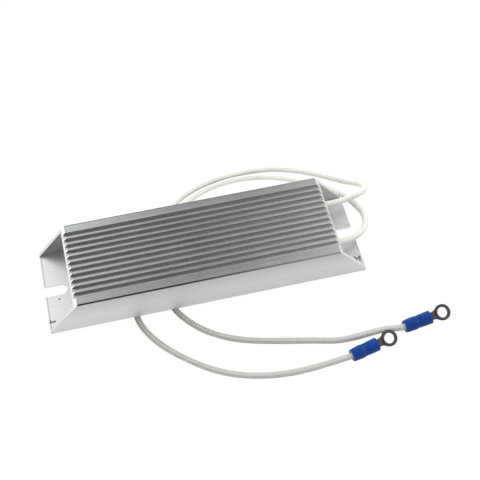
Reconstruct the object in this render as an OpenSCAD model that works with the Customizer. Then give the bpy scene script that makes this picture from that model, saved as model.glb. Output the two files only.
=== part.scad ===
// Aluminium housed wirewound power resistor on two braided leads.
//
// A hollow aluminium extrusion, finned along its top, is cut off on a slope at both
// ends so that its base plate stands out with an open mounting slot.  Two wirewound
// ceramic elements lie side by side in a cement filling.  Their leads leave the right
// end, run round behind the housing, pass under it and end in ring terminals.
// The housing rests on its right-hand edge and on the leads under it, so it leans.
//
// Floor frame: z = 0 is the surface that everything lies on, +X points along the
// housing to the end where the leads come out.
// Housing frame: the same axes, before the lean, with the base plate's face at z = 0.

/* [Housing] */
// Length of the base plate
housing_l = 140; // [125:1:180]
// Width over the side walls
housing_w = 40; // [36:1:50]
// Height from the base plate's face to the fin tips
housing_h = 20; // [18:0.5:26]
// Length of the finned top, between the sloping end cuts
top_l = 112; // [90:1:118]
// Thickness of the base plate
base_t = 1.5; // [1:0.1:2.5]
// Thickness of each side wall
wall_t = 1.6; // [1:0.1:2.4]
// Thickness of the top wall under the grooves
top_t = 1; // [0.8:0.1:1.6]
// Radius of the two outer edges along the top
edge_r = 0.5; // [0.2:0.1:1.2]
// Radius of the corners inside the extrusion
inner_r = 0.6; // [0.3:0.1:1.2]

/* [Cooling fins] */
// Number of grooves between the two flat rails
groove_count = 11; // [5:1:12]
// Depth of a groove
groove_depth = 1.5; // [0.8:0.1:2]
// Width of the flat rail along each side
rail_w = 3.9; // [3:0.1:6]
// Thickness of a fin at its tip
fin_t = 0.65; // [0.5:0.05:0.9]
// How much each fin grows towards its root, on each side
fin_draft = 0.1; // [0.05:0.05:0.2]

/* [Mounting slots] */
// Distance between the round inner ends of the two slots
slot_spacing = 125; // [118:0.5:125]
// Width of a slot
slot_w = 5.3; // [4.3:0.1:6.5]

/* [Filling] */
// How far each end seal lies inside the end of the finned top
seal_recess = 2; // [1:0.5:5]
// Thickness of an end seal
seal_t = 4; // [3:0.5:6]

/* [Elements] */
// Radius of a ceramic core
core_r = 4.4; // [3.5:0.1:4.8]
// Distance between the axes of the two cores
core_spacing = 18.4; // [15:0.2:20]
// Filling left beyond the cores at the closed end
core_cover = 6; // [5:0.5:10]
// Filling left beyond the cores at the lead end
splice_room = 14; // [13:0.5:20]
// Wall of an end cap, around the core and across its end
cap_t = 0.7; // [0.5:0.1:1]
// Length of an end cap
cap_l = 6; // [4:0.5:9]
// Thickness of the coat that beds the winding on its core
coat_t = 0.2; // [0.1:0.05:0.3]
// Diameter of the resistance wire
wire_d = 0.6; // [0.4:0.05:0.8]
// Distance between neighbouring turns
turn_pitch = 1.6; // [1.2:0.1:3]
// Diameter of the stiff wires that join the end caps
link_d = 1.2; // [0.8:0.1:1.6]

/* [Leads] */
// Diameter of a lead over its braided sleeve
lead_d = 2.7; // [2.3:0.1:2.7]
// Diameter of the stranded conductor inside it
strand_d = 1.8; // [1.2:0.1:1.9]
// Clearance round a lead and round its bare ends
lead_gap = 0.1; // [0.05:0.05:0.15]
// Where the front lead leaves the end seal, across the housing
lead_front_y = -9.2; // [-11:0.1:-7]
// Where the back lead leaves the end seal, across the housing
lead_back_y = 11.5; // [8:0.1:13]
// Length of the ferrule that splices a lead to its element
splice_l = 7; // [5:0.5:8]
// Wall of the splice ferrule
splice_t = 0.6; // [0.4:0.1:1]
// Filling between a splice and the end seal
splice_cover = 2; // [1:0.5:3]

/* [Ring terminals] */
// Length of the insulating sleeve
sleeve_l = 12; // [11.5:0.5:13]
// Radius of the sleeve where the lead goes in
sleeve_mouth_r = 2.65; // [2.5:0.05:2.8]
// Radius of the sleeve's swell over the lead
sleeve_swell_r = 2.92; // [2.8:0.02:2.94]
// Radius of the sleeve's pressed waist
sleeve_waist_r = 2.68; // [2.55:0.01:2.75]
// Radius of the sleeve at its ring end
sleeve_end_r = 2.9; // [2.85:0.01:2.94]
// Depth of the crimp mark in the waist
crimp_depth = 0.3; // [0.1:0.05:0.4]
// How far a lead reaches into its sleeve
lead_entry = 4; // [3:0.5:5]
// Length of the metal barrel inside the sleeve
barrel_l = 5.5; // [4.5:0.5:6]
// Wall of the barrel
barrel_t = 0.7; // [0.5:0.1:0.7]
// Thickness of the ring and its tongue
ring_t = 0.8; // [0.6:0.1:1]
// Outer radius of the ring
ring_r = 3.5; // [3.2:0.1:3.6]
// Diameter of the stud hole
stud_d = 4.5; // [4:0.1:5]
// Width of the tongue at its neck
neck_w = 3.4; // [2.6:0.1:3.4]
// Radius of the hollow sides between neck and ring
neck_r = 3.5; // [2:0.1:4.5]
// Distance from the sleeve's end to the centre of the stud hole
ring_reach = 6.3; // [6:0.1:7]
// How far both rings are rolled over towards the front
terminal_roll = 23; // [15:1:23]

/* [Resting position] */
// Where the base plate comes down on the leads, from the middle of the housing
rest_x = -13; // [-20:1:-13]
// Play between the base plate and the leads that it lies on
rest_gap = 0.1; // [0.1:0.05:0.3]

/* [Hidden] */
$fn = 48;
// Overshoot of a cutting shape past the face that it opens
cut = 1;

// The lean that brings the base plate down on the leads
lean = asin((lead_d + rest_gap) / (housing_l / 2 - rest_x));
lift = housing_l / 2 * sin(lean);

// The hollow of the extrusion
cavity_w = housing_w - 2 * wall_t;
cavity_top = housing_h - groove_depth - top_t;
cavity_h = cavity_top - base_t;
core_z = base_t + cavity_h / 2;
groove_w = (housing_w - 2 * rail_w - (groove_count - 1) * fin_t) / groove_count;

// Ends of the filling, the seals and the elements along the housing
seal_x = top_l / 2 - seal_recess;
fill_x = seal_x - seal_t;
cap_left_x = -fill_x + core_cover;
cap_right_x = fill_x - splice_room;
cap_r = core_r + cap_t;
winding_gap = 0.3;
winding_x = cap_left_x + cap_l + winding_gap;
winding_l = cap_right_x - cap_left_x - 2 * (cap_l + winding_gap);
turns = floor((winding_l - wire_d) / turn_pitch);

// Splices between the elements and the leads
splice_x = fill_x - splice_cover - splice_l;
splice_r = strand_d / 2 + lead_gap + splice_t;
// Gap left between wire and strands in the middle of a splice
splice_meet = 1;
splice_grip = (splice_l - splice_meet) / 2;
tail_crank = 1.5;
link_stand = 3;

// Ring terminals, measured from a lead's end along its own direction
sleeve_x = -lead_entry;
sleeve_end_x = sleeve_x + sleeve_l;
waist_at = 0.5;
swell_at = 0.37;
barrel_bore_r = strand_d / 2 + lead_gap;
barrel_r = barrel_bore_r + barrel_t;
barrel_set = 0.8;
barrel_x = sleeve_end_x - barrel_set - barrel_l;
barrel_gap = 0.05;
mouth_r = sqrt(pow(neck_w / 2, 2) + pow(barrel_r, 2)) + barrel_gap;
ring_x = sleeve_end_x + ring_reach;
neck_x = ring_x - sqrt(pow(ring_r + neck_r, 2) - pow(neck_w / 2 + neck_r, 2));

// A point of the housing frame in the floor frame
function to_floor(p) = [
    p[0] * cos(lean) + p[2] * sin(lean),
    p[1],
    p[2] * cos(lean) - p[0] * sin(lean) + lift
];

// First, straight stretch of a lead: from its splice out through the end seal
seal_clear = 3;
function lead_out(y) = [
    to_floor([fill_x - splice_cover, y, core_z]),
    to_floor([seal_x + seal_clear, y, core_z])
];

// Middle height of a lead that lies on the floor, and of one inside its terminal
lay_z = 1.35;
grip_z = 2.95;

// Route of the front lead, to the terminal that lies furthest right
route_front = concat(lead_out(lead_front_y), [
    [61.5, -8.8, 9.5],
    [65.2, -8, 8.9],
    [68.5, -6.7, 8],
    [71.6, -4.8, 6.9],
    [74.2, -2.2, 5.6],
    [76, 0.9, 4.2],
    [77.1, 4.4, 2.9],
    [77.3, 8, 1.9],
    [76.5, 11.4, 1.4],
    [75, 14.7, lay_z],
    [73.2, 17.9, lay_z],
    [71, 21.5, lay_z],
    [67, 25.2, lay_z],
    [61.5, 29, lay_z],
    [54.5, 32.8, lay_z],
    [46, 36.7, lay_z],
    [37, 39.5, lay_z],
    [28, 40.7, lay_z],
    [19.6, 40.5, lay_z],
    [11.4, 38.9, lay_z],
    [3.4, 35.8, lay_z],
    [-4, 31.6, lay_z],
    [-9.8, 26.4, lay_z],
    [-13.9, 20, lay_z],
    [-16.8, 12.5, lay_z],
    [-18.5, 4.5, lay_z],
    [-19, -3.8, lay_z],
    [-18.3, -12, lay_z],
    [-15.9, -19.8, lay_z],
    [-11.5, -26.5, lay_z],
    [-5.5, -32.5, lay_z],
    [1.8, -37.3, lay_z],
    [10, -40.9, lay_z],
    [19, -43.5, lay_z],
    [28.5, -45.8, lay_z],
    [38, -48, lay_z],
    [47, -50.2, lay_z],
    [55, -50.6, lay_z],
    [62.5, -50.2, lay_z],
    [68.5, -50.1, lay_z],
    [72.8, -51, 2.1],
    [76.4, -51.7, grip_z],
    [80.4, -51.1, grip_z]
]);

// Route of the back lead, to the terminal that lies nearest the front
route_back = concat(lead_out(lead_back_y), [
    [61.5, 11.7, 9.6],
    [66, 12.2, 9],
    [70.2, 13, 8.4],
    [74.5, 14.1, 7.8],
    [78.2, 15.8, 6.8],
    [80.8, 17.9, 5.4],
    [81.8, 20.6, 3.8],
    [80.9, 23.3, 2.4],
    [78.6, 25.3, 1.6],
    [75.2, 27.1, lay_z],
    [69.2, 30.8, lay_z],
    [62.4, 34.9, lay_z],
    [54.2, 39, lay_z],
    [45.2, 42.2, lay_z],
    [35.5, 43.8, lay_z],
    [26, 44, lay_z],
    [17, 43.3, lay_z],
    [8.4, 41.5, lay_z],
    [0.4, 38.3, lay_z],
    [-6.9, 33.8, lay_z],
    [-13.4, 28.1, lay_z],
    [-19.2, 21.3, lay_z],
    [-24, 13.7, lay_z],
    [-27.9, 5.5, lay_z],
    [-30.9, -3.2, lay_z],
    [-32.7, -12, lay_z],
    [-32.6, -20.4, lay_z],
    [-29.5, -28.3, lay_z],
    [-23.6, -36.3, lay_z],
    [-15.6, -43.9, lay_z],
    [-6.8, -50.5, lay_z],
    [2, -55, lay_z],
    [11.1, -57.9, lay_z],
    [20.2, -59.5, lay_z],
    [28.8, -60, lay_z],
    [37, -59.8, 1.5],
    [44.3, -59.5, 2.1],
    [51, -59.2, grip_z],
    [55, -58.3, grip_z]
]);

// Sweep of an eight-sided tube along a route, one ring at each point
lead_sides = 8;
function unit(v) = v / norm(v);
function last(list) = list[len(list) - 1];
function heading(route, i) = unit(
    route[min(i + 1, len(route) - 1)] - route[max(i - 1, 0)]
);
function ring_at(p, along, r) =
    let (side = unit(cross([0, 0, 1], along)), up = cross(along, side))
    [for (k = [0:lead_sides - 1])
        let (a = 360 * k / lead_sides)
        p + r * (cos(a) * side + sin(a) * up)];
function tube_points(route, r) = [
    for (i = [0:len(route) - 1]) each ring_at(route[i], heading(route, i), r)
];
function tube_faces(rings) = concat(
    [[for (k = [0:lead_sides - 1]) k]],
    [for (i = [0:rings - 2], k = [0:lead_sides - 1])
        let (here = i * lead_sides, next = here + lead_sides, j = (k + 1) % lead_sides)
        [here + k, next + k, next + j, here + j]],
    [[for (k = [lead_sides - 1:-1:0]) (rings - 1) * lead_sides + k]]
);

// ---- Placing ----

// Puts what is drawn in the housing frame where the leaning housing lies
module on_floor() {
    translate([0, 0, lift]) rotate([0, lean, 0]) children();
}

// Turns a solid that stands along Z so that it lies along X
module along_x(at) {
    translate(at) rotate([0, 90, 0]) children();
}

// Puts a terminal's pieces on the end of its lead
module on_lead_end(route) {
    way = last(route) - route[len(route) - 2];
    pitch = asin(way[2] / norm(way));
    yaw = atan2(way[1], way[0]);
    translate(last(route)) rotate([terminal_roll, -pitch, yaw]) children();
}

// The half of space ahead of a point, looking along the given direction in plan
module ahead_of(point, direction, span) {
    translate(point) rotate([0, 0, direction]) translate([0, -span / 2, -span / 2])
        cube(span);
}

// Round wire through a few points at one height, mitred at each bend
module bent_wire(points, d) {
    bends = len(points) - 2;
    angles = [for (i = [0:bends])
        let (way = points[i + 1] - points[i]) atan2(way[1], way[0])];
    for (i = [0:bends]) {
        run = norm(points[i + 1] - points[i]);
        span = 2 * (run + 2 * d);
        before = i > 0 ? d : 0;
        after = i < bends ? d : 0;
        intersection() {
            translate(points[i]) rotate([0, 90, angles[i]]) translate([0, 0, -before])
                cylinder(h = run + before + after, d = d);
            if (i > 0) ahead_of(points[i], (angles[i - 1] + angles[i]) / 2, span);
            if (i < bends)
                ahead_of(points[i + 1], (angles[i] + angles[i + 1]) / 2 + 180, span);
        }
    }
}

// ---- Housing ----

// Rectangle that stands on y = 0, with its upper or all corners rounded
module rounded_section(w, h, r, foot_r) {
    inner_w = w - 2 * r;
    translate([-inner_w / 2, 0]) square([inner_w, h]);
    translate([-w / 2, foot_r]) square([w, h - r - foot_r]);
    for (side = [-1, 1]) {
        translate([side * inner_w / 2, h - r]) circle(r = r);
        if (foot_r > 0) translate([side * inner_w / 2, foot_r]) circle(r = foot_r);
    }
}

module cavity_section() {
    translate([0, base_t]) rounded_section(cavity_w, cavity_h, inner_r, inner_r);
}

module groove_section() {
    foot = groove_w / 2 - fin_draft;
    rise = cut / groove_depth * fin_draft;
    polygon([
        [-foot, -groove_depth], [foot, -groove_depth],
        [groove_w / 2 + rise, cut], [-groove_w / 2 - rise, cut]
    ]);
}

module housing_section() {
    difference() {
        rounded_section(housing_w, housing_h, edge_r, 0);
        cavity_section();
        for (i = [0:groove_count - 1])
            translate([(i - (groove_count - 1) / 2) * (groove_w + fin_t), housing_h])
                groove_section();
    }
}

// Everything above the base plate that the sloping saw cut takes away
module end_cut() {
    run = (housing_l - top_l) / 2;
    rise = housing_h - base_t;
    rotate([90, 0, 0]) linear_extrude(height = housing_w + 2 * cut, center = true)
        polygon([
            [housing_l / 2, base_t],
            [top_l / 2 - cut * run / rise, housing_h + cut],
            [housing_l / 2 + cut, housing_h + cut],
            [housing_l / 2 + cut, base_t]
        ]);
}

module slot() {
    translate([slot_spacing / 2, 0, -cut]) cylinder(h = base_t + 2 * cut, d = slot_w);
    translate([slot_spacing / 2, -slot_w / 2, -cut])
        cube([(housing_l - slot_spacing) / 2 + cut, slot_w, base_t + 2 * cut]);
}

module housing() {
    color([0.78, 0.79, 0.81]) on_floor() difference() {
        rotate([90, 0, 90]) linear_extrude(height = housing_l, center = true)
            housing_section();
        for (end = [0, 180]) rotate([0, 0, end]) {
            end_cut();
            slot();
        }
    }
}

// ---- Filling ----

// Block that fills the hollow of the extrusion between two places
module cavity_block(x0, x1) {
    translate([x0, 0, 0]) rotate([90, 0, 90]) linear_extrude(height = x1 - x0)
        cavity_section();
}

// Hole that a lead passes through, from its splice to the open end
module lead_hole(y) {
    hole_x = fill_x - splice_cover;
    along_x([hole_x, y, core_z])
        cylinder(h = seal_x - hole_x + cut, r = lead_d / 2 + lead_gap);
}

// Room of one element, its splice and its lead
module element_room(core_y, lead_y) {
    along_x([cap_left_x, core_y, core_z])
        cylinder(h = cap_right_x - cap_left_x, r = cap_r);
    tail_path(core_y, lead_y);
    along_x([splice_x, lead_y, core_z]) cylinder(h = splice_l, r = splice_r);
    lead_hole(lead_y);
}

module cement_fill() {
    color([0.86, 0.85, 0.82]) on_floor() difference() {
        cavity_block(-fill_x, fill_x);
        link_path();
        element_room(-core_spacing / 2, lead_front_y);
        element_room(core_spacing / 2, lead_back_y);
    }
}

module end_seal_left() {
    color([0.93, 0.93, 0.91]) on_floor() cavity_block(-seal_x, -fill_x);
}

module end_seal_right() {
    color([0.93, 0.93, 0.91]) on_floor() difference() {
        cavity_block(fill_x, seal_x);
        lead_hole(lead_front_y);
        lead_hole(lead_back_y);
    }
}

// ---- Elements ----

module core(y) {
    color([0.9, 0.88, 0.82]) on_floor()
        along_x([cap_left_x + cap_t, y, core_z])
            cylinder(h = cap_right_x - cap_left_x - 2 * cap_t, r = core_r);
}

// Turns of resistance wire, bedded on the core in a thin coat
module winding(y) {
    rib = wire_d / 2;
    slack = (winding_l - turns * turn_pitch) / 2;
    ribs = [for (i = [0:turns - 1])
        let (mid = slack + (i + 0.5) * turn_pitch)
        each [
            [core_r + coat_t, mid - rib], [core_r + wire_d, mid - rib / 2],
            [core_r + wire_d, mid + rib / 2], [core_r + coat_t, mid + rib]
        ]];
    outline = concat(
        [[core_r, 0], [core_r + coat_t, 0]],
        ribs,
        [[core_r + coat_t, winding_l], [core_r, winding_l]]
    );
    color([0.35, 0.42, 0.36]) on_floor()
        along_x([winding_x, y, core_z]) rotate_extrude() polygon(outline);
}

// Pressed cup on one end of a core
module cap(x, y, turn) {
    color([0.8, 0.68, 0.4]) on_floor()
        translate([x, y, core_z]) rotate([0, 90 + turn, 0]) difference() {
            cylinder(h = cap_l, r = cap_r);
            translate([0, 0, cap_t]) cylinder(h = cap_l, r = core_r);
        }
}

// Bridge from one element to the other at the closed end
module link_path() {
    half = core_spacing / 2;
    bent_wire([
        [cap_left_x, -half, core_z], [cap_left_x - link_stand, -half, core_z],
        [cap_left_x - link_stand, half, core_z], [cap_left_x, half, core_z]
    ], link_d);
}

// Wire from an end cap, cranked over into the splice
module tail_path(core_y, lead_y) {
    bent_wire([
        [cap_right_x, core_y, core_z], [cap_right_x + tail_crank, core_y, core_z],
        [splice_x - tail_crank, lead_y, core_z], [splice_x + splice_grip, lead_y, core_z]
    ], link_d);
}

module link_wire() {
    color([0.75, 0.75, 0.76]) on_floor() link_path();
}

module tail_wire(core_y, lead_y) {
    color([0.75, 0.75, 0.76]) on_floor() tail_path(core_y, lead_y);
}

module splice(y) {
    color([0.8, 0.8, 0.82]) on_floor() along_x([splice_x, y, core_z]) difference() {
        cylinder(h = splice_l, r = splice_r);
        translate([0, 0, -cut]) cylinder(h = splice_l + 2 * cut, r = link_d / 2 + lead_gap);
        translate([0, 0, splice_l - splice_grip])
            cylinder(h = splice_grip + cut, r = strand_d / 2 + lead_gap);
    }
}

module splice_strands(y) {
    color([0.8, 0.8, 0.8]) on_floor()
        along_x([splice_x + splice_l - splice_grip, y, core_z])
            cylinder(h = splice_grip, d = strand_d);
}

// ---- Leads ----

module lead(route) {
    color([0.9, 0.9, 0.88])
        polyhedron(points = tube_points(route, lead_d / 2), faces = tube_faces(len(route)));
}

// ---- Ring terminals ----

module terminal_strands(route) {
    color([0.8, 0.8, 0.8]) on_lead_end(route) along_x([0, 0, 0])
        cylinder(h = barrel_x + barrel_l, d = strand_d);
}

// Outline of the ring and its tongue, seen from above
module tongue_outline() {
    touch = ring_r / (ring_r + neck_r);
    flare_x = ring_x - (ring_x - neck_x) * touch;
    flare_y = (neck_w / 2 + neck_r) * touch;
    translate([ring_x, 0]) circle(r = ring_r);
    translate([barrel_x + barrel_l, -neck_w / 2])
        square([ring_x - barrel_x - barrel_l, neck_w]);
    difference() {
        translate([neck_x, -flare_y]) square([flare_x - neck_x, 2 * flare_y]);
        for (side = [-1, 1]) translate([neck_x, side * (neck_w / 2 + neck_r)])
            circle(r = neck_r);
    }
}

// Pressed ring, flat tongue and the barrel that grips the strands
module terminal(route) {
    color([0.22, 0.21, 0.2]) on_lead_end(route) {
        difference() {
            union() {
                translate([0, 0, -barrel_r]) linear_extrude(height = ring_t)
                    tongue_outline();
                along_x([barrel_x, 0, 0]) cylinder(h = barrel_l, r = barrel_r);
                // The tongue's root, lapped under the barrel
                intersection() {
                    translate([barrel_x + barrel_l - barrel_set, -neck_w / 2, -barrel_r])
                        cube([2 * barrel_set, neck_w, ring_t]);
                    along_x([barrel_x, 0, 0]) cylinder(h = barrel_l + barrel_set, r = barrel_r);
                }
            }
            along_x([barrel_x - cut, 0, 0])
                cylinder(h = barrel_l + cut, r = barrel_bore_r);
            translate([ring_x, 0, -barrel_r - cut])
                cylinder(h = ring_t + 2 * cut, d = stud_d);
        }
    }
}

// Insulating sleeve, swollen over the lead and pinched at its middle by the crimp
module terminal_sleeve(route) {
    color([0.1, 0.25, 0.7]) on_lead_end(route) difference() {
        along_x([sleeve_x, 0, 0]) rotate_extrude() polygon([
            [0, 0], [sleeve_mouth_r, 0], [sleeve_swell_r, swell_at * sleeve_l],
            [sleeve_waist_r, waist_at * sleeve_l], [sleeve_end_r, sleeve_l], [0, sleeve_l]
        ]);
        // Room for the lead, then for the barrel, then for the root of the tongue
        along_x([sleeve_x - cut, 0, 0])
            cylinder(h = barrel_x - sleeve_x + cut, r = lead_d / 2 + lead_gap);
        along_x([barrel_x - barrel_gap, 0, 0])
            cylinder(h = sleeve_end_x - barrel_x + cut, r = barrel_r + barrel_gap);
        along_x([barrel_x + barrel_l, 0, 0]) cylinder(h = barrel_set + cut, r = mouth_r);
        // Crimp marks above and below
        for (side = [-1, 1])
            translate([sleeve_x + waist_at * sleeve_l, 0,
                       side * (2 * sleeve_waist_r - crimp_depth)])
                rotate([90, 0, 0])
                    cylinder(h = 2 * sleeve_swell_r, r = sleeve_waist_r, center = true);
    }
}

housing();
cement_fill();
end_seal_left();
end_seal_right();
core(-core_spacing / 2);  // core_front
core(core_spacing / 2);  // core_back
winding(-core_spacing / 2);  // winding_front
winding(core_spacing / 2);  // winding_back
cap(cap_left_x, -core_spacing / 2, 0);  // cap_front_left
cap(cap_right_x, -core_spacing / 2, 180);  // cap_front_right
cap(cap_left_x, core_spacing / 2, 0);  // cap_back_left
cap(cap_right_x, core_spacing / 2, 180);  // cap_back_right
link_wire();
tail_wire(-core_spacing / 2, lead_front_y);  // tail_wire_front
tail_wire(core_spacing / 2, lead_back_y);  // tail_wire_back
splice(lead_front_y);  // splice_front
splice(lead_back_y);  // splice_back
splice_strands(lead_front_y);  // splice_strands_front
splice_strands(lead_back_y);  // splice_strands_back
lead(route_front);  // lead_front
lead(route_back);  // lead_back
terminal_strands(route_front);  // terminal_strands_front
terminal_strands(route_back);  // terminal_strands_back
terminal(route_front);  // terminal_front
terminal(route_back);  // terminal_back
terminal_sleeve(route_front);  // terminal_sleeve_front
terminal_sleeve(route_back);  // terminal_sleeve_back
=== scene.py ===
"""Aluminium housed power resistor: the finish of its housing, leads and ring terminals.

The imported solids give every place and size, in metres.  The housing leans a little,
because it stands on its right bottom edge and lies with its left half on its own leads.
"""

import bmesh
import bpy
import numpy as np
from math import asin, atan2, pi, radians, sin, sqrt
from mathutils import Matrix, Vector, noise


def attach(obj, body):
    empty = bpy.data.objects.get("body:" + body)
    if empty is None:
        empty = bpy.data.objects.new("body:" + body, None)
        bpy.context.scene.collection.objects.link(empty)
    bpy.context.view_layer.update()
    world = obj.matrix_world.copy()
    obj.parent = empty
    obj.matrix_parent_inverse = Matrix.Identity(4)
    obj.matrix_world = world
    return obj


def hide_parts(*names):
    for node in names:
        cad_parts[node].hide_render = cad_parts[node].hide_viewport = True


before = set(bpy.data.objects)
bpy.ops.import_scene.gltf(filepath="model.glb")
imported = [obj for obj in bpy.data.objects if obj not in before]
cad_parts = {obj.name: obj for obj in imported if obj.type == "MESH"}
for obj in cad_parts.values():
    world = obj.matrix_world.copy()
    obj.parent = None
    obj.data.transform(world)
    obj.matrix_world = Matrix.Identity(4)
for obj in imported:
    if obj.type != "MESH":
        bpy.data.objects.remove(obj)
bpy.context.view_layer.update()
MM = 0.001


# ---------------------------------------------------------------- Camera
# A hand-held view from the front and well above, turned a little to the left end and
# rolled clockwise, so that the housing climbs to the right.
CAMERA_AZIMUTH = -7.77
CAMERA_ELEVATION = 60.04
CAMERA_ROLL = -5.51
CAMERA_DISTANCE = 0.3914
CAMERA_LENS = 65.55
CAMERA_SHIFT = (0.0802, 0.053)

camera_data = bpy.data.cameras.new("camera")
camera_data.lens = CAMERA_LENS
camera_data.sensor_width = 36
camera_data.shift_x, camera_data.shift_y = CAMERA_SHIFT
camera_data.clip_start = 0.01
camera = bpy.data.objects.new("camera", camera_data)
bpy.context.scene.collection.objects.link(camera)
bpy.context.scene.camera = camera
camera.matrix_world = (
    Matrix.Rotation(radians(CAMERA_AZIMUTH), 4, "Z")
    @ Matrix.Rotation(radians(90 - CAMERA_ELEVATION), 4, "X")
    @ Matrix.Translation((0, 0, CAMERA_DISTANCE))
    @ Matrix.Rotation(radians(CAMERA_ROLL), 4, "Z")
)


# ---------------------------------------------------------------- Leads
# Two stranded wires in braided glass fibre sleeves, about 0.3 m each.  They come out
# of the cement at the right end, run round behind the housing and pass under it.
LEAD_D = 2.7 * MM
LEAD_GAP = 0.1 * MM
HOUSING_L = 140 * MM
CORE_Z = 9.5 * MM
# Along the housing: where the sleeves start, and where they are clear of the cement
SPLICE_X = 48 * MM
CLEAR_X = 57 * MM
# The housing turns about its right bottom edge until it clears the leads at REST_X
REST_X = -13 * MM
LEAN = asin((LEAD_D + LEAD_GAP) / (HOUSING_L / 2 - REST_X))
LEAN_TURN = Matrix.Rotation(LEAN, 4, "Y")
LEAN_TURN.translation = (0, 0, HOUSING_L / 2 * sin(LEAN))


def lead_out(y):
    """The straight stretch inside the housing, in its own leaning frame."""
    return [LEAN_TURN @ Vector((x, y, CORE_Z)) for x in (SPLICE_X, CLEAR_X)]


def in_metres(points):
    """The places of a route, from millimetres."""
    return [Vector(p) * MM for p in points]


LEAD_FRONT_Y = -9.2 * MM
LEAD_BACK_Y = 11.5 * MM
# Height of a lead's middle where it lies on the table, and where its terminal lifts it
LAY = 1.35
GRIP = 2.95
ROUTE_FRONT = lead_out(LEAD_FRONT_Y) + in_metres([
    (61.5, -8.8, 9.5), (65.2, -8, 8.9), (68.5, -6.7, 8), (71.6, -4.8, 6.9),
    (74.2, -2.2, 5.6), (76, 0.9, 4.2), (77.1, 4.4, 2.9), (77.3, 8, 1.9),
    (76.5, 11.4, 1.4), (75, 14.7, LAY), (73.2, 17.9, LAY), (71, 21.5, LAY),
    (67, 25.2, LAY), (61.5, 29, LAY), (54.5, 32.8, LAY), (46, 36.7, LAY),
    (37, 39.5, LAY), (28, 40.7, LAY), (19.6, 40.5, LAY), (11.4, 38.9, LAY),
    (3.4, 35.8, LAY), (-4, 31.6, LAY), (-9.8, 26.4, LAY), (-13.9, 20, LAY),
    (-16.8, 12.5, LAY), (-18.5, 4.5, LAY), (-19, -3.8, LAY), (-18.3, -12, LAY),
    (-15.9, -19.8, LAY), (-11.5, -26.5, LAY), (-5.5, -32.5, LAY), (1.8, -37.3, LAY),
    (10, -40.9, LAY), (19, -43.5, LAY), (28.5, -45.8, LAY), (38, -48, LAY),
    (47, -50.2, LAY), (55, -50.6, LAY), (62.5, -50.2, LAY), (68.5, -50.1, LAY),
    (72.8, -51, 2.1), (76.4, -51.7, GRIP), (80.4, -51.1, GRIP),
])
ROUTE_BACK = lead_out(LEAD_BACK_Y) + in_metres([
    (61.5, 11.7, 9.6), (66, 12.2, 9), (70.2, 13, 8.4), (74.5, 14.1, 7.8),
    (78.2, 15.8, 6.8), (80.8, 17.9, 5.4), (81.8, 20.6, 3.8), (80.9, 23.3, 2.4),
    (78.6, 25.3, 1.6), (75.2, 27.1, LAY), (69.2, 30.8, LAY), (62.4, 34.9, LAY),
    (54.2, 39, LAY), (45.2, 42.2, LAY), (35.5, 43.8, LAY), (26, 44, LAY),
    (17, 43.3, LAY), (8.4, 41.5, LAY), (0.4, 38.3, LAY), (-6.9, 33.8, LAY),
    (-13.4, 28.1, LAY), (-19.2, 21.3, LAY), (-24, 13.7, LAY), (-27.9, 5.5, LAY),
    (-30.9, -3.2, LAY), (-32.7, -12, LAY), (-32.6, -20.4, LAY), (-29.5, -28.3, LAY),
    (-23.6, -36.3, LAY), (-15.6, -43.9, LAY), (-6.8, -50.5, LAY), (2, -55, LAY),
    (11.1, -57.9, LAY), (20.2, -59.5, LAY), (28.8, -60, LAY), (37, -59.8, 1.5),
    (44.3, -59.5, 2.1), (51, -59.2, GRIP), (55, -58.3, GRIP),
])


STEPS_PER_SPAN = 24
SMOOTHING_PASSES = 40


def smooth_line(route, step):
    """Even points along one smooth curve through the route's points."""
    p = np.array([tuple(v) for v in route])
    ends = np.vstack([2 * p[0] - p[1], p, 2 * p[-1] - p[-2]])
    t = np.linspace(0, 1, STEPS_PER_SPAN, endpoint=False)[:, None]
    fine = [
        0.5 * (2 * b + (c - a) * t + (2 * a - 5 * b + 4 * c - d) * t**2
               + (3 * b - a - 3 * c + d) * t**3)
        for a, b, c, d in zip(ends, ends[1:], ends[2:], ends[3:])
    ]
    fine = np.vstack(fine + [p[-1:]])
    # A light smoothing takes the last kinks out of the route
    for _ in range(SMOOTHING_PASSES):
        fine[1:-1] = 0.25 * fine[:-2] + 0.5 * fine[1:-1] + 0.25 * fine[2:]
    run = np.concatenate([[0], np.cumsum(np.linalg.norm(np.diff(fine, axis=0), axis=1))])
    at = np.linspace(0, run[-1], int(run[-1] / step) + 1)
    return np.stack([np.interp(at, run, fine[:, k]) for k in range(3)], axis=1), at


# Yarns of each set round the lead, and how far they stand above and below its surface
YARNS = 7
YARN_RISE = 0.06 * MM
YARN_ROOT = 0.12 * MM
YARN_FULLNESS = 0.8
BRAID_ROUND = 48
BRAID_STEP = 0.215 * MM
# How unevenly the sleeve is drawn on, over how long, and how near it comes to the table
UNEVEN = 0.02
UNEVEN_RUN = 6 * MM
TABLE_GAP = 0.02 * MM


def braid(turn, run):
    """The weave: its height, and which of the two sets of flat yarns lies on top."""
    lean_run = run / (pi * LEAD_D) * YARNS
    left = turn * YARNS + lean_run
    right = turn * YARNS - lean_run
    over = np.cos(pi * left) * np.cos(pi * right)
    yarn_left = np.abs(np.sin(pi * left)) ** YARN_FULLNESS * (0.55 + 0.45 * over)
    yarn_right = np.abs(np.sin(pi * right)) ** YARN_FULLNESS * (0.55 - 0.45 * over)
    return np.maximum(yarn_left, yarn_right), 0.5 + 0.5 * over


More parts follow.
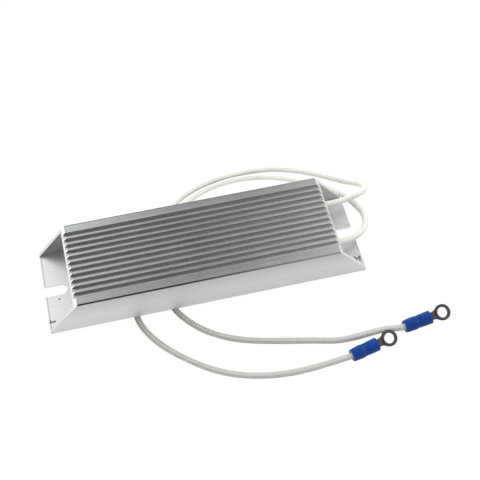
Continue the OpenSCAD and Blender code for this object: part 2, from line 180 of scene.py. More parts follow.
def braided_lead(name, route, seed):
    """A tube along the route with the weave of its sleeve in the mesh."""
    line, run = smooth_line(route, BRAID_STEP)
    along = np.gradient(line, axis=0)
    along /= np.linalg.norm(along, axis=1)[:, None]
    side = np.cross(np.array([0, 0, 1.0]), along)
    side /= np.linalg.norm(side, axis=1)[:, None]
    up = np.cross(along, side)
    around = np.arange(BRAID_ROUND)
    turn = around / BRAID_ROUND
    angle = 2 * pi * turn[None, :, None]
    height, laid = braid(turn[None, :], run[:, None])
    # The sleeve isn't drawn quite evenly: it is a little fuller in some places
    rng = np.random.default_rng(seed)
    knots = rng.normal(0, UNEVEN, int(run[-1] / UNEVEN_RUN) + 3)
    full = np.interp(run, np.arange(len(knots)) * UNEVEN_RUN, knots)[:, None]
    radius = LEAD_D / 2 * (1 + full) - YARN_ROOT + (YARN_ROOT + YARN_RISE) * height
    points = line[:, None, :] + radius[..., None] * (
        np.cos(angle) * side[:, None, :] + np.sin(angle) * up[:, None, :])
    points[..., 2] = np.maximum(points[..., 2], TABLE_GAP)
    ring_starts = np.arange(len(line))[:, None] * BRAID_ROUND
    a = (ring_starts[:-1] + around).ravel()
    b = (ring_starts[:-1] + (around + 1) % BRAID_ROUND).ravel()
    faces = np.stack([b, b + BRAID_ROUND, a + BRAID_ROUND, a], axis=1)
    caps = [around[::-1].tolist(), (ring_starts[-1] + around).tolist()]
    mesh = bpy.data.meshes.new(name)
    mesh.from_pydata(points.reshape(-1, 3).tolist(), [], faces.tolist() + caps)
    piece = bpy.data.objects.new(name, mesh)
    bpy.context.scene.collection.objects.link(piece)
    mesh.polygons.foreach_set("use_smooth", [True] * len(faces) + [False, False])
    # How high each point stands, which set is on top, and how far along the lead it is
    for title, values in (("weave", height), ("laid", laid),
                          ("place", np.repeat(run, BRAID_ROUND))):
        layer = mesh.attributes.new(title, "FLOAT", "POINT")
        layer.data.foreach_set("value", values.astype(np.float32).ravel())
    mesh.update()
    return piece, line, run[-1]


class Value:
    """A number or colour on its way through a material, for sums written as they read."""

    def __init__(self, finish, socket):
        self.finish = finish
        self.socket = socket

    def sum_of(self, operation, *values):
        """The result of one Math node."""
        return self.finish.node("ShaderNodeMath", {"operation": operation}, *values)

    def __add__(self, other):
        return self.sum_of("ADD", self, other)

    def __sub__(self, other):
        return self.sum_of("SUBTRACT", self, other)

    def __rsub__(self, other):
        return self.sum_of("SUBTRACT", other, self)

    def __mul__(self, other):
        return self.sum_of("MULTIPLY", self, other)

    def __truediv__(self, other):
        return self.sum_of("DIVIDE", self, other)

    def __pow__(self, other):
        return self.sum_of("POWER", self, other)

    def __neg__(self):
        return self.sum_of("MULTIPLY", self, -1.0)

    def __lt__(self, other):
        return self.sum_of("LESS_THAN", self, other)

    def __gt__(self, other):
        return self.sum_of("GREATER_THAN", self, other)

    def below(self, other):
        """The smaller of two values."""
        return self.sum_of("MINIMUM", self, other)

    def above(self, other):
        """The greater of two values."""
        return self.sum_of("MAXIMUM", self, other)

    def size(self):
        """The value without its sign."""
        return self.sum_of("ABSOLUTE", self)

    __radd__ = __add__
    __rmul__ = __mul__


class Nodes:
    """One node tree, with its nodes made and joined in one call each."""

    def __init__(self, tree):
        self.tree = tree

    def node(self, kind, settings=None, *values, out=0, **named):
        """Any node, with its settings, its inputs in order or by name, and one output."""
        made = self.tree.nodes.new(kind)
        for setting, value in (settings or {}).items():
            setattr(made, setting, value)
        for key, value in list(enumerate(values)) + list(named.items()):
            socket = made.inputs[key.replace("_", " ") if isinstance(key, str) else key]
            if isinstance(value, Value):
                self.tree.links.new(value.socket, socket)
            elif value is not None:
                socket.default_value = value
        return Value(self, made.outputs[out]) if made.outputs else None

    def parts(self, vector):
        """The three components of a vector."""
        split = self.node("ShaderNodeSeparateXYZ", None, vector).socket.node
        return [Value(self, split.outputs[k]) for k in range(3)]

    def noise(self, where, scale, detail, roughness=0.5):
        """A cloudy pattern between 0 and 1, finer with a greater scale."""
        return self.node("ShaderNodeTexNoise", None, where, Scale=scale, Detail=detail,
                         Roughness=roughness)

    def rise(self, value, start, end):
        """0 before the start, 1 past the end, and a soft step between them."""
        kind = {"interpolation_type": "SMOOTHSTEP"}
        return self.node("ShaderNodeMapRange", kind, value, start, end, 0.0, 1.0)

    def mix(self, factor, a, b):
        """The first colour where the factor is 0, the second where it is 1."""
        mixed = self.node("ShaderNodeMix", {"data_type": "RGBA"}, factor, out=2)
        node = mixed.socket.node
        for index, value in ((6, a), (7, b)):
            if isinstance(value, Value):
                self.tree.links.new(value.socket, node.inputs[index])
            else:
                node.inputs[index].default_value = value
        return mixed


class Finish(Nodes):
    """One material: its shader, and the nodes that feed it."""

    def __init__(self, name, **sockets):
        self.material = bpy.data.materials.new(name)
        self.material.use_nodes = True
        super().__init__(self.material.node_tree)
        self.shader = self.tree.nodes["Principled BSDF"]
        for socket, value in sockets.items():
            self.shader.inputs[socket.replace("_", " ")].default_value = value

    def feed(self, socket, value):
        """Joins a value to one of the shader's sockets."""
        self.tree.links.new(value.socket, self.shader.inputs[socket])

    def place(self, turn=(0, 0, 0), move=(0, 0, 0), scale=(1, 1, 1)):
        """Object coordinates, centred, turned and stretched by a Mapping node."""
        where = self.node("ShaderNodeTexCoord", out="Object")
        return self.node("ShaderNodeMapping", {"vector_type": "TEXTURE"}, where,
                         Location=move, Rotation=turn, Scale=scale)

    def bump(self, height, distance, strength):
        """A fine relief in the surface, for the shader's Normal."""
        return self.node("ShaderNodeBump", None, Strength=strength, Distance=distance,
                         Height=height)


def dress(piece, finish):
    """Gives a piece its one material."""
    piece.data.materials.clear()
    piece.data.materials.append(finish.material)


# How far along a lead it turns grey as painted shade, where it comes round to the front of
# the housing, and greyer near its terminal
SHADED_RUN = (0.14, 0.20)
END_RUN = (0.23, 0.28)


def braid_finish():
    """White glass yarn, with painted shade in the gaps of the weave and along its stretch in
    front of the housing, greyer near its terminal.
    """
    finish = Finish("braided_glass_yarn", Roughness=0.7, Specular_IOR_Level=0.3)
    weave = finish.node("ShaderNodeAttribute", {"attribute_name": "weave"}, out="Fac")
    laid = finish.node("ShaderNodeAttribute", {"attribute_name": "laid"}, out="Fac")
    along = finish.node("ShaderNodeAttribute", {"attribute_name": "place"}, out="Fac")
    where = finish.place()
    soil = finish.noise(where, 160.0, 3.0)
    speck = finish.noise(where, 2400.0, 2.0)
    crown = finish.rise(weave, 0.15, 0.85)
    along = along + soil * 0.02
    # The yarns laid one way catch the light, and those laid the other way don't
    top = finish.rise(laid, 0.3, 0.7)
    lighter_yarn = finish.mix(top, (0.72, 0.72, 0.68, 1), (0.98, 0.98, 0.94, 1))
    # Painted shade in the gaps between the yarns, where the weave is low
    lighter_yarn = finish.mix(crown, (0.52, 0.52, 0.48, 1), lighter_yarn)
    # A greyer copy of the yarn, used as painted shade where the lead runs in front of the
    # housing
    grey = finish.mix(top, (0.42, 0.42, 0.39, 1), (0.92, 0.92, 0.87, 1))
    grey = finish.mix(crown, (0.18, 0.18, 0.17, 1), grey)
    grey = finish.mix(finish.rise(along, *END_RUN) * 0.5, grey, (0.50, 0.50, 0.48, 1))
    run_shaded_yarn = finish.mix(finish.rise(along, *SHADED_RUN), lighter_yarn, grey)
    soiled = finish.mix((soil - 0.45) * 1.2, run_shaded_yarn, (0.55, 0.55, 0.52, 1))
    finish.feed("Base Color", finish.mix((speck - 0.5) * 0.6, soiled, (0.4, 0.4, 0.38, 1)))
    finish.feed("Normal", finish.bump(speck, 0.00002, 0.5))
    return finish


glass_braid = braid_finish()
leads = {}
for side, route, seed in (("front", ROUTE_FRONT, 3), ("back", ROUTE_BACK, 8)):
    lead, line, length = braided_lead(f"braided_lead_{side}", route, seed)
    dress(lead, glass_braid)
    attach(lead, "root")
    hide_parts(f"lead_{side}")
    leads[side] = (lead, line, length)


# ---------------------------------------------------------------- Housing
# One length of aluminium extrusion with a finned top, sawn off on the slope at both
# ends and slotted, then anodised in its natural colour.
EDGE_WEAR = 0.07 * MM
# The extruded section in millimetres, from its middle and from its bottom face
HALF_W = 20
TOP_Z = 20
FIN_ROOT_Z = 18.5
HOLLOW_TOP_Z = 17.5
HOLLOW_HALF_W = 18.4
HOLLOW_CORNER_R = 0.6
BASE_Z = 1.5
FIRST_GROOVE_Y = 14.9
# The band along the top edges painted with a dark reflection, and the dark line near the
# base's left end
DARK_REFLECTION_BAND = 0.58
END_LINE_X = -69.35
# Short dark marks on the base plate, in millimetres: from, to and half width
MARKS = (
    (-69.4, -15.4, -67.4, -15.2, 0.40),
    (-69.3, -14.3, -69.1, -15.4, 0.35),
    (-64.1, -4.9, -63.9, -4.9, 0.35),
    (66.7, -13.2, 67.4, -14.7, 0.35),
    (67.4, -14.7, 69.0, -13.4, 0.30),
    (69.0, -13.4, 68.7, -15.3, 0.35),
)


def housing_finish():
    """Natural anodised aluminium: drawn lines, sawn ends, specks and a few dark marks, and
    painted light and shade in places.
    """
    finish = Finish("anodised_extrusion", Metallic=1.0)
    lying = dict(turn=(0, LEAN, 0), move=(0, 0, HOUSING_L / 2 * sin(LEAN)))
    where = finish.place(**lying, scale=(MM, MM, MM))
    x, y, z = finish.parts(where)
    # Drawing lines run along the housing and the saw's lines run across it
    streak = finish.noise(finish.place(**lying, scale=(0.06, 0.0007, 0.0007)), 1.0, 3.0)
    drawn = finish.noise(finish.place(**lying, scale=(0.03, 0.00025, 0.00025)), 1.0, 2.0)
    saw = finish.noise(finish.place(**lying, scale=(0.002, 0.0005, 0.002)), 1.0, 2.0)
    cloud = finish.noise(where, 0.07, 2.0)
    grit = finish.noise(where, 1.6, 3.0, 0.7)
    dust = finish.noise(where, 1.3, 1.0)

    def stroke(ax, ay, bx, by, width):
        """A short dark mark on the base plate, from one place to another."""
        dx, dy = bx - ax, by - ay
        share = ((x - ax) * dx + (y - ay) * dy) / (dx**2 + dy**2)
        share = share.above(0.0).below(1.0)
        off = ((x - ax - share * dx) ** 2 + (y - ay - share * dy) ** 2) ** 0.5
        return finish.rise(-off + grit * 0.25, -width, 0.1 - width / 2)

    # The faces inside the hollow stay brighter and duller than the anodised outside
    across = y.size()
    inside = (z < HOLLOW_TOP_Z + 0.1) * (across < HOLLOW_HALF_W + 0.2)
    walls = across > HALF_W - 0.05
    inner_walls = across > HOLLOW_HALF_W - 0.5
    # Sawn faces look along the housing, drawn ones never do
    normal = finish.node("ShaderNodeNewGeometry", out="Normal")
    sawn = finish.parts(normal)[0].size() > 0.3
    # The inner corners where the base plate meets the walls, for painted shade
    corner_y = HOLLOW_HALF_W - 0.4
    corner_foot = finish.rise(across, corner_y - HOLLOW_CORNER_R, corner_y)
    crease_shade = (z < BASE_Z + HOLLOW_CORNER_R + 0.1) * corner_foot * inside
    edge = (z > TOP_Z - DARK_REFLECTION_BAND) * (across > HALF_W - DARK_REFLECTION_BAND)
    front_rail = (y < -FIRST_GROOVE_Y) * (z > TOP_Z - 0.2)
    left_fins = (z > FIN_ROOT_Z - 0.5) * (x < 0)
    base = (z > BASE_Z - 0.2) * (z < BASE_Z + 0.2)
    marks = stroke(*MARKS[0])
    for mark in MARKS[1:]:
        marks = marks.above(stroke(*mark))
    # A dark line across the base plate, near its left end
    end_line = finish.rise(-(x - END_LINE_X).size(), -0.3, -0.1)
    light_specks = finish.rise(dust, 0.76, 0.80) * 0.7
    dark_specks = finish.rise(dust, 0.24, 0.20) * 0.5

    outer = finish.mix(streak, (0.52, 0.522, 0.528, 1), (0.62, 0.622, 0.626, 1))
    side = finish.mix(streak, (0.66, 0.66, 0.655, 1), (0.75, 0.75, 0.745, 1))
    # The side walls darken towards their top: painted shade
    side = finish.mix(finish.rise(z, 8.0, 24.0), side, (0.52, 0.52, 0.52, 1))
    # The front rail of the top is painted a little darker: painted shade
    outer = finish.mix(front_rail, outer, (0.50, 0.502, 0.508, 1))
    inner = finish.mix(streak, (0.71, 0.71, 0.705, 1), (0.80, 0.80, 0.79, 1))
    cut = finish.mix(saw, (0.48, 0.48, 0.48, 1), (0.86, 0.86, 0.86, 1))
    # The sawn ends of the fins at the left end are painted whiter: painted highlight
    lit_fin_ends = finish.mix(saw, (0.70, 0.70, 0.70, 1), (1.0, 1.0, 1.0, 1))
    cut = finish.mix(left_fins, cut, lit_fin_ends)
    # The inner faces of the walls are painted lighter at the right end and darker at the
    # left end: painted light and painted shade
    inner_wall_shading = finish.mix(x > 0, (0.60, 0.605, 0.61, 1), (0.88, 0.88, 0.885, 1))
    inner = finish.mix(inner_walls, inner, inner_wall_shading)
    # The base was left rougher and greyer at the end the leads come out of
    far_base = base * (x > 0)
    inner = finish.mix(far_base, inner, (0.56, 0.56, 0.565, 1))
    inner = finish.mix(base * (grit - 0.5) * 1.6, inner, (0.5, 0.51, 0.5, 1))
    inner = finish.mix(far_base * (grit - 0.5) * 3.0, inner, (0.25, 0.25, 0.25, 1))
    outside = finish.mix(walls, outer, side)
    outside = finish.mix(light_specks, outside, (0.95, 0.95, 0.95, 1))
    outside = finish.mix(dark_specks, outside, (0.2, 0.2, 0.2, 1))
    skin = finish.mix(inside, outside, inner)
    # Painted dark reflection along the top edges, darkest at the left end and fading to the
    # right
    rightward = finish.rise(x, -20.0, 50.0)
    edge_reflection = finish.mix(rightward, (0.1, 0.1, 0.1, 1), (0.32, 0.32, 0.32, 1))
    skin = finish.mix(edge, skin, edge_reflection)
    # Painted shade in the inner corners of the hollow
    skin = finish.mix(crease_shade, skin, (0.5, 0.5, 0.5, 1))
    skin = finish.mix(base * (end_line * 0.5).above(marks), skin, (0.14, 0.14, 0.13, 1))
    finish.feed("Base Color", finish.mix(sawn, skin, cut))
    satin = 0.16 + streak * 0.10 + cloud * 0.06
    rougher = sawn * 0.2 + walls * 0.3 + inside * 0.12 + far_base * 0.15
    finish.feed("Roughness", satin + rougher)
    finish.feed("Metallic", 1.0 - walls * 0.45)
    finish.feed("Normal", finish.bump(drawn + sawn * saw * 3.0 - marks * 4.0, 0.00004, 0.6))
    return finish


def copy_of(node, name):
    """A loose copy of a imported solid's mesh, merged and with its flat faces made whole."""
    bpy.ops.object.select_all(action="DESELECT")
    piece = bpy.data.objects.new(name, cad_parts[node].data.copy())
    bpy.context.scene.collection.objects.link(piece)
    bpy.context.view_layer.objects.active = piece
    piece.select_set(True)
    bpy.ops.object.mode_set(mode="EDIT")
    bpy.ops.mesh.select_all(action="SELECT")
    bpy.ops.mesh.remove_doubles(threshold=0.001 * MM)
    bpy.ops.mesh.dissolve_limited(angle_limit=radians(0.5))
    bpy.ops.object.mode_set(mode="OBJECT")
    return piece


def apply_modifier(piece, kind, **settings):
    """Works one modifier into the mesh of a piece."""
    modifier = piece.modifiers.new(kind.lower(), kind)
    for setting, value in settings.items():
        setattr(modifier, setting, value)
    bpy.context.view_layer.objects.active = piece
    bpy.ops.object.modifier_apply(modifier=modifier.name)


housing = copy_of("housing", "finned_housing")
apply_modifier(housing, "BEVEL", width=EDGE_WEAR, segments=2, limit_method="ANGLE",
               angle_limit=radians(40))
bpy.ops.object.shade_smooth_by_angle(angle=radians(35))
apply_modifier(housing, "WEIGHTED_NORMAL", weight=100, keep_sharp=True)
dress(housing, housing_finish())
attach(housing, "root")
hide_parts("housing")


# ---------------------------------------------------------------- End seals
# White refractory cement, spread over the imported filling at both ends.  It is rough,
# and a little of it has run up round the leads.
SEAL_X = 54 * MM
SEAL_T = 4 * MM
SEAL_ROWS = 36
SEAL_COLUMNS = 84
# The pressed face, in millimetres: its lumps, and its rise at the walls and the leads
LUMP_RISE = 0.5
LUMPS_PER_MM = 0.35
WALL_RISE = 0.6
WALL_REACH = 0.7
LEAD_RISE = 1.5
LEAD_REACH = 0.8
FACE_SUNK = 0.3


def cement_finish(name, colour):
    """Gritty mineral stuff, in patches of a lighter and a darker shade."""
    finish = Finish(name, Roughness=0.9)
    where = finish.place()
    grit = finish.noise(where, 900.0, 4.0, 0.7)
    patch = finish.noise(where, 120.0, 2.0)
    dark = tuple(0.75 * c for c in colour[:3]) + (1,)
    finish.feed("Base Color", finish.mix(grit * 0.6 + patch * 0.4 - 0.1, dark, colour))
    finish.feed("Normal", finish.bump(grit, 0.0003, 0.8))
    return finish


def cement_seal(name, outward, lead_ys):
    """A plug of the hollow's section whose outer face is left as it was pressed in."""
    half_h = (HOLLOW_TOP_Z - BASE_Z) / 2
    middle_z = CORE_Z / MM
    bpy.ops.object.select_all(action="DESELECT")
    middle = (SEAL_X * outward, 0, CORE_Z)
    bpy.ops.mesh.primitive_grid_add(
        x_subdivisions=SEAL_ROWS, y_subdivisions=SEAL_COLUMNS, size=1, location=middle,
        rotation=(0, outward * pi / 2, 0))
    piece = bpy.context.active_object
    piece.name = name
    bpy.ops.object.transform_apply(location=True, rotation=True, scale=True)
    bpy.ops.object.mode_set(mode="EDIT")
    bpy.ops.mesh.select_all(action="SELECT")
    bpy.ops.transform.resize(
        value=(1, 2 * HOLLOW_HALF_W * MM, 2 * half_h * MM), center_override=middle)
    bpy.ops.mesh.region_to_loop()
    bpy.ops.mesh.extrude_region_move(
        TRANSFORM_OT_translate={"value": (-outward * SEAL_T, 0, 0)})
    bpy.ops.mesh.edge_face_add()
    bpy.ops.mesh.select_all(action="SELECT")
    bpy.ops.mesh.normals_make_consistent(inside=False)
    bpy.ops.object.mode_set(mode="OBJECT")
    for vertex in piece.data.vertices:
        x, y, z = vertex.co / MM
        if abs(x) < SEAL_X / MM - 0.01:
            continue
        to_wall = min(HOLLOW_HALF_W - abs(y), half_h - abs(z - middle_z))
        lump_place = Vector((0, y, z)) * LUMPS_PER_MM + Vector((outward, 0, 0))
        rise = LUMP_RISE * noise.fractal(lump_place, 1, 2, 4)
        rise += WALL_RISE * np.exp(-to_wall / WALL_REACH)
        for lead_y in lead_ys:
            from_lead = sqrt((y - lead_y / MM)**2 + (z - middle_z)**2) - LEAD_D / 2 / MM
            rise += LEAD_RISE * np.exp(-max(0, from_lead) / LEAD_REACH)
        vertex.co.x += outward * (rise - FACE_SUNK) * MM
    return piece


def bore(piece, place, radius, length):
    """Cuts a round hole along X."""
    bpy.ops.object.select_all(action="DESELECT")
    bpy.ops.mesh.primitive_cylinder_add(
        vertices=32, radius=radius, depth=length, location=place, rotation=(0, pi / 2, 0))
    cutter = bpy.context.active_object
    apply_modifier(piece, "BOOLEAN", operation="DIFFERENCE", object=cutter, solver="EXACT")
    bpy.data.objects.remove(cutter)


seal_cement = cement_finish("seal_cement", (0.86, 0.85, 0.82, 1))
for side, outward, lead_ys in (("left", -1, ()), ("right", 1, (LEAD_FRONT_Y, LEAD_BACK_Y))):
    seal = cement_seal(f"cement_seal_{side}", outward, lead_ys)
    for lead_y in lead_ys:
        bore(seal, (SEAL_X, lead_y, CORE_Z), (LEAD_D + LEAD_GAP) / 2, 3 * SEAL_T)
    seal.data.transform(LEAN_TURN)
    bpy.context.view_layer.objects.active = seal
    seal.select_set(True)
    bpy.ops.object.shade_smooth_by_angle(angle=radians(45))
    dress(seal, seal_cement)
    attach(seal, "root")
    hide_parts(f"end_seal_{side}")


# ---------------------------------------------------------------- Inner pieces
# What the cement hides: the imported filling, the two ceramic elements with their pressed
# caps, the stiff wires that join them and the ferrules that splice the leads on.
def plain_metal(name, colour, roughness):
    """Bare metal, rubbed a little lighter in places."""
    finish = Finish(name, Metallic=1.0)
    where = finish.place()
    rubbed = finish.noise(where, 700.0, 3.0)
    light = tuple(min(1, 1.15 * c) for c in colour[:3]) + (1,)
    finish.feed("Base Color", finish.mix(rubbed, colour, light))
    finish.feed("Roughness", roughness - 0.06 + rubbed * 0.12)
    return finish


filling = cement_finish("packed_filling", (0.72, 0.71, 0.68, 1))
ceramic = cement_finish("fired_ceramic", (0.88, 0.86, 0.79, 1))
coat = cement_finish("fired_coat", (0.27, 0.34, 0.28, 1))
cap_metal = plain_metal("cap_metal", (0.72, 0.58, 0.32, 1), 0.35)
tinned = plain_metal("tinned_wire", (0.72, 0.72, 0.73, 1), 0.3)
INNER = (
    (filling, ["cement_fill"]),
    (ceramic, ["core_front", "core_back"]),
    (coat, ["winding_front", "winding_back"]),
    (cap_metal, ["cap_front_left", "cap_front_right", "cap_back_left", "cap_back_right"]),
    (tinned, ["link_wire", "tail_wire_front", "tail_wire_back", "splice_front",
              "splice_back", "splice_strands_front", "splice_strands_back",
              "terminal_strands_front", "terminal_strands_back"]),
)
for finish, names in INNER:
    for name in names:
        dress(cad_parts[name], finish)


# ---------------------------------------------------------------- Terminal sleeves
# Blue vinyl sleeve over the barrel and the end of each lead.  It swells over the lead,
# and the crimping pliers have pressed a waist and two dents into it.
TERMINAL_ROLL = 23
# The tube's rings in millimetres: how far beyond the lead's end, and their radius.  They
# run from inside the mouth over the lead, round the outside, to inside the other mouth.
SLEEVE_RINGS = (
    (-2.4, 1.46), (-3.8, 1.46), (-3.95, 1.5), (-4, 1.6), (-4, 2.52), (-3.92, 2.62),
    (-3.6, 2.68), (-2.2, 2.8), (-0.6, 2.9), (0.44, 2.92), (1.1, 2.84), (1.6, 2.72),
    (2, 2.68), (2.5, 2.71), (3.2, 2.8), (4.5, 2.84), (6, 2.87), (7.5, 2.9), (7.92, 2.9),
    (8, 2.84), (8, 2.56), (7.9, 2.5), (7.15, 2.48), (7.1, 1.76),
)
SLEEVE_SIDES = 48
CRIMP_X = 2.0
CRIMP_DEPTH = 0.32
CRIMP_REACH = 1.5


def on_lead_end(piece, route):
    """Moves a piece from the origin onto the end of its lead, and fixes it there."""
    way = route[-1] - route[-2]
    piece.matrix_world = (
        Matrix.Translation(route[-1])
        @ Matrix.Rotation(atan2(way.y, way.x), 4, "Z")
        @ Matrix.Rotation(-asin(way.z / way.length), 4, "Y")
        @ Matrix.Rotation(radians(TERMINAL_ROLL), 4, "X")
    )
    bpy.ops.object.select_all(action="DESELECT")
    piece.select_set(True)
    bpy.context.view_layer.objects.active = piece
    bpy.ops.object.transform_apply(location=True, rotation=True, scale=True)


def start_circle(name, x, radius, sides):
    """A circle that faces along X, in edit mode and selected, to be drawn out."""
    bpy.ops.object.select_all(action="DESELECT")
    bpy.ops.mesh.primitive_circle_add(
        vertices=sides, radius=radius * MM, location=(x * MM, 0, 0), rotation=(0, pi / 2, 0))
    bpy.ops.object.transform_apply(location=True, rotation=True, scale=True)
    bpy.context.active_object.name = name
    bpy.ops.object.mode_set(mode="EDIT")
    bpy.ops.mesh.select_all(action="SELECT")
    return bpy.context.active_object


def draw_out(rings):
    """Extrudes the selected ring from place to place and resizes it at each."""
    for (x, radius), (next_x, next_radius) in zip(rings, rings[1:]):
        bpy.ops.mesh.extrude_region_move(
            TRANSFORM_OT_translate={"value": ((next_x - x) * MM, 0, 0)})
        grow = next_radius / radius
        bpy.ops.transform.resize(value=(1, grow, grow), center_override=(next_x * MM, 0, 0))


def choose(piece, test):
    """Selects the vertices of a piece in edit mode that pass a test on their place."""
    bpy.ops.mesh.select_all(action="DESELECT")
    mesh = bmesh.from_edit_mesh(piece.data)
    for vertex in mesh.verts:
        vertex.select = bool(test(*(vertex.co / MM)))
    mesh.select_flush(True)
    bmesh.update_edit_mesh(piece.data)


def terminal_sleeve(name):
    """A tube drawn out from ring to ring, with a dent pressed into two of its sides."""
    piece = start_circle(name, *SLEEVE_RINGS[0], SLEEVE_SIDES)
    draw_out(SLEEVE_RINGS)
    for side in (1, -1):
        # The few points in the middle of the dent draw the others after them
        choose(piece, lambda x, y, z: abs(x - CRIMP_X) < 0.1 and abs(y) < 0.5
               and z * side > 2.5)
        bpy.ops.transform.translate(
            value=(0, 0, -side * CRIMP_DEPTH * MM), use_proportional_edit=True,
            use_proportional_connected=True, proportional_edit_falloff="SMOOTH",
            proportional_size=CRIMP_REACH * MM)
    bpy.ops.mesh.select_all(action="SELECT")
    bpy.ops.mesh.normals_make_consistent(inside=False)
    bpy.ops.object.mode_set(mode="OBJECT")
    apply_modifier(piece, "SUBSURF", levels=1, render_levels=1)
    bpy.ops.object.shade_smooth_by_angle(angle=radians(50))
    return piece


def sleeve_finish():
    """Soft blue vinyl, a little cloudy, with fine rubbed lines."""
    finish = Finish("blue_vinyl", Specular_IOR_Level=0.14)
    where = finish.place()
    cloud = finish.noise(where, 260.0, 2.0)
    rubbed = finish.noise(where, 1500.0, 3.0)
    blue = finish.mix(cloud, (0.002, 0.027, 0.165, 1), (0.004, 0.042, 0.235, 1))
    finish.feed("Base Color", finish.mix((rubbed - 0.5) * 1.6, blue, (0.02, 0.085, 0.34, 1)))
    finish.feed("Roughness", 0.28 + rubbed * 0.16)
    finish.feed("Normal", finish.bump(rubbed, 0.00002, 0.5))
    return finish


blue_vinyl = sleeve_finish()
for side, route in (("front", ROUTE_FRONT), ("back", ROUTE_BACK)):
    sleeve = terminal_sleeve(f"vinyl_sleeve_{side}")
    on_lead_end(sleeve, route)
    dress(sleeve, blue_vinyl)
    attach(sleeve, "root")
    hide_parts(f"terminal_sleeve_{side}")


# ---------------------------------------------------------------- Ring terminals
# A ring and tongue stamped from sheet, rolled into a barrel that is crimped on the
# strands.  The plating has gone dark, and is rubbed brown in places.

# Sizes in millimetres, and places in millimetres from the end of the lead
RING_X = 14.3
RING_R = 3.5
RING_MIDDLE_R = 2.9
RING_SIDES = 60
STUD_R = 2.25
TONGUE_TOP = -0.9
RING_T = 0.8
STAMPED_EDGE = 0.14
NECK_X = 9.614
NECK_HALF = 1.7
NECK_HOLLOW = 3.5
BARREL_SIDES = 40
TONGUE_STEPS = (11.5, 11, 10.5, 10, 9.6, 8.6, 7.4, 6.6)
BARREL_RINGS = ((7, 1), (7.2, 1.08), (7.2, 1.62), (7.1, 1.7), (1.8, 1.7), (1.7, 1.62),
                (1.7, 1.1), (1.9, 1))


def half_width(x):
    """Half the tongue's width, along the hollow side between the ring and the neck."""
    if x <= NECK_X:
        return NECK_HALF
    return NECK_HALF + NECK_HOLLOW - sqrt(NECK_HOLLOW**2 - (x - NECK_X)**2)


def stamped_ring(name):
    """A flat washer whose near edge is drawn out into the tongue."""
    bpy.ops.object.select_all(action="DESELECT")
    centre = (RING_X * MM, 0, TONGUE_TOP * MM)
    bpy.ops.mesh.primitive_circle_add(
        vertices=RING_SIDES, radius=RING_R * MM, location=centre)
    bpy.ops.object.transform_apply(location=True, rotation=True, scale=True)
    piece = bpy.context.active_object
    piece.name = name
    bpy.ops.object.mode_set(mode="EDIT")
    bpy.ops.mesh.select_all(action="SELECT")
    for radius_from, radius_to in ((RING_R, RING_MIDDLE_R), (RING_MIDDLE_R, STUD_R)):
        bpy.ops.mesh.extrude_region_move(TRANSFORM_OT_translate={"value": (0, 0, 0)})
        shrink = radius_to / radius_from
        bpy.ops.transform.resize(value=(shrink, shrink, 1), center_override=centre)
    # Where the ring's edge runs over into the hollow side of the tongue
    flare_x = RING_X - (RING_X - NECK_X) * RING_R / (RING_R + NECK_HOLLOW)
    choose(piece, lambda x, y, z: x < flare_x + 0.05
           and (x - RING_X)**2 + y**2 > (RING_R - 0.05)**2)
    for last_x, x in zip((flare_x,) + TONGUE_STEPS, TONGUE_STEPS):
        bpy.ops.mesh.extrude_region_move(TRANSFORM_OT_translate={"value": (0, 0, 0)})
        grow = half_width(x) / half_width(last_x)
        if last_x == flare_x:
            # The first step also draws the round edge straight
            bpy.ops.transform.resize(value=(0, grow, 1), center_override=(x * MM, 0, 0))
        else:
            bpy.ops.transform.translate(value=((x - last_x) * MM, 0, 0))
            bpy.ops.transform.resize(value=(1, grow, 1), center_override=(x * MM, 0, 0))
    bpy.ops.mesh.select_all(action="SELECT")
    bpy.ops.mesh.normals_make_consistent(inside=False)
    bpy.ops.object.mode_set(mode="OBJECT")
    return piece


def ring_terminal(name):
    """The ring and tongue given their thickness, with the barrel joined on."""
    piece = stamped_ring(name)
    if piece.data.polygons[0].normal.z < 0:
        bpy.ops.object.mode_set(mode="EDIT")
        bpy.ops.mesh.flip_normals()
        bpy.ops.object.mode_set(mode="OBJECT")
    apply_modifier(piece, "SOLIDIFY", thickness=RING_T * MM, offset=-1)
    apply_modifier(piece, "BEVEL", width=STAMPED_EDGE * MM, segments=3,
                   limit_method="ANGLE", angle_limit=radians(50))
    barrel = start_circle("barrel", *BARREL_RINGS[0], BARREL_SIDES)
    draw_out(BARREL_RINGS + BARREL_RINGS[:1])
    bpy.ops.mesh.select_all(action="SELECT")
    bpy.ops.mesh.remove_doubles(threshold=0.001 * MM)
    bpy.ops.mesh.normals_make_consistent(inside=False)
    bpy.ops.object.mode_set(mode="OBJECT")
    bpy.ops.object.select_all(action="DESELECT")
    barrel.select_set(True)
    piece.select_set(True)
    bpy.context.view_layer.objects.active = piece
    bpy.ops.object.join()
    bpy.ops.object.shade_smooth_by_angle(angle=radians(35))
    apply_modifier(piece, "WEIGHTED_NORMAL", weight=100, keep_sharp=True)
    return piece


def terminal_finish():
    """Plating gone dark, mottled, and rubbed a little brown."""
    finish = Finish("darkened_plating", Metallic=1.0)
    where = finish.place()
    mottle = finish.noise(where, 500.0, 3.0)
    rubbed = finish.noise(where, 1800.0, 2.0)
    dark = finish.mix(mottle, (0.042, 0.042, 0.044, 1), (0.12, 0.115, 0.108, 1))
    finish.feed("Base Color", finish.mix((rubbed - 0.6) * 2.0, dark, (0.22, 0.17, 0.12, 1)))
    finish.feed("Roughness", 0.28 + mottle * 0.2)
    finish.feed("Normal", finish.bump(rubbed, 0.00002, 0.4))
    return finish


# Every tenth ring of a lead's mesh gives a point of its path
PATH_STEP = 10

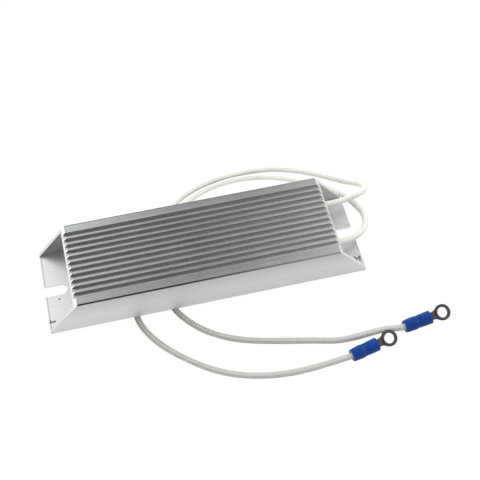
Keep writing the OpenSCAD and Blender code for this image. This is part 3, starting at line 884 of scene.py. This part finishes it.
darkened_plating = terminal_finish()
for side, route in (("front", ROUTE_FRONT), ("back", ROUTE_BACK)):
    ring = ring_terminal(f"ring_terminal_{side}")
    on_lead_end(ring, route)
    dress(ring, darkened_plating)
    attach(ring, "root")
    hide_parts(f"terminal_{side}")
    lead, line, length = leads[side]
    [tuple(point) for point in line[::PATH_STEP]] + [tuple(line[-1])]


# ---------------------------------------------------------------- Floor and light
# A plain white table in a light tent: soft lamps at both sides and behind, and a dim
# opening towards the viewer.
TABLE_GLOW = 1.02
GLOW_SEEN = 0.95
GLOW_MIRRORED = 0.8


def white_table():
    """Plain white, lifted nearly to pure white, with a trace of the shadow left in it."""
    finish = Finish("white_table", Base_Color=(0.9, 0.9, 0.9, 1), Roughness=0.9)
    tree = finish.tree
    glow = tree.nodes.new("ShaderNodeEmission")
    glow.inputs["Color"].default_value = (1, 1, 1, 1)
    glow.inputs["Strength"].default_value = TABLE_GLOW
    blend = tree.nodes.new("ShaderNodeMixShader")
    seen = finish.node("ShaderNodeLightPath", out="Is Camera Ray")
    mirrored = finish.node("ShaderNodeLightPath", out="Is Glossy Ray")
    share = seen * GLOW_SEEN + mirrored * GLOW_MIRRORED
    tree.links.new(share.socket, blend.inputs["Fac"])
    tree.links.new(finish.shader.outputs[0], blend.inputs[1])
    tree.links.new(glow.outputs[0], blend.inputs[2])
    tree.links.new(blend.outputs[0], tree.nodes["Material Output"].inputs["Surface"])
    return finish


bpy.ops.mesh.primitive_plane_add(size=6)
table = bpy.context.active_object
table.name = "table"
dress(table, white_table())


def tent():
    """The world: white to the eye, and a tent of uneven brightness to the metal."""
    world = bpy.data.worlds.new("tent")
    bpy.context.scene.world = world
    world.use_nodes = True
    tree = world.node_tree
    tree.nodes.clear()
    air = Nodes(tree)
    x, y, z = air.parts(air.node("ShaderNodeTexCoord", out="Generated"))
    # Overhead the cloth is brighter at both sides than in the middle, and dark towards
    # the viewer.  It is plain white low down.
    sides = air.rise((x - y * 0.4 + 0.063).size(), 0.0, 0.5)
    front = air.rise(-y, -0.15, 0.3)
    low = air.rise(-z, -0.22, 0.0)
    overhead = air.rise(z, 0.4, 0.75)
    behind_level = 1.0 + overhead * (sides * 2.1 - 0.77)
    front_level = 0.19 + air.rise(x, 0.12, 0.5)
    level = behind_level + front * (front_level - behind_level)
    level = level + low * (1.0 - level)
    tint = air.mix(air.rise(x, -0.2, 0.45), (0.975, 1, 0.995, 1), (0.99, 0.985, 1.015, 1))
    cloth = air.node("ShaderNodeBackground", None, tint, level)
    white = air.node("ShaderNodeBackground", None, (1, 1, 1, 1), 1.0)
    seen = air.node("ShaderNodeLightPath", out="Is Camera Ray")
    air.node("ShaderNodeOutputWorld", None,
             air.node("ShaderNodeMixShader", None, seen, cloth, white))


tent()


def lamp(name, place, size, power, mirrored=True):
    """A soft rectangular lamp turned to the middle of the table."""
    data = bpy.data.lights.new(name, "AREA")
    data.shape = "RECTANGLE"
    data.size, data.size_y = size
    data.energy = power
    made = bpy.data.objects.new(name, data)
    bpy.context.scene.collection.objects.link(made)
    made.location = place
    made.rotation_euler = (-Vector(place)).to_track_quat("-Z", "Y").to_euler()
    made.visible_glossy = mirrored


lamp("left_lamp", (-0.9, 0.3, 0.6), (0.8, 0.8), 3)
lamp("right_lamp", (0.9, 0.3, 0.6), (0.8, 0.8), 2)
lamp("back_lamp", (0.0, 1.1, 0.36), (2.0, 0.6), 3.5)
lamp("top_lamp", (0.0, -0.1, 1.2), (1.0, 1.0), 3, mirrored=False)

bpy.context.scene.view_settings.view_transform = "Standard"
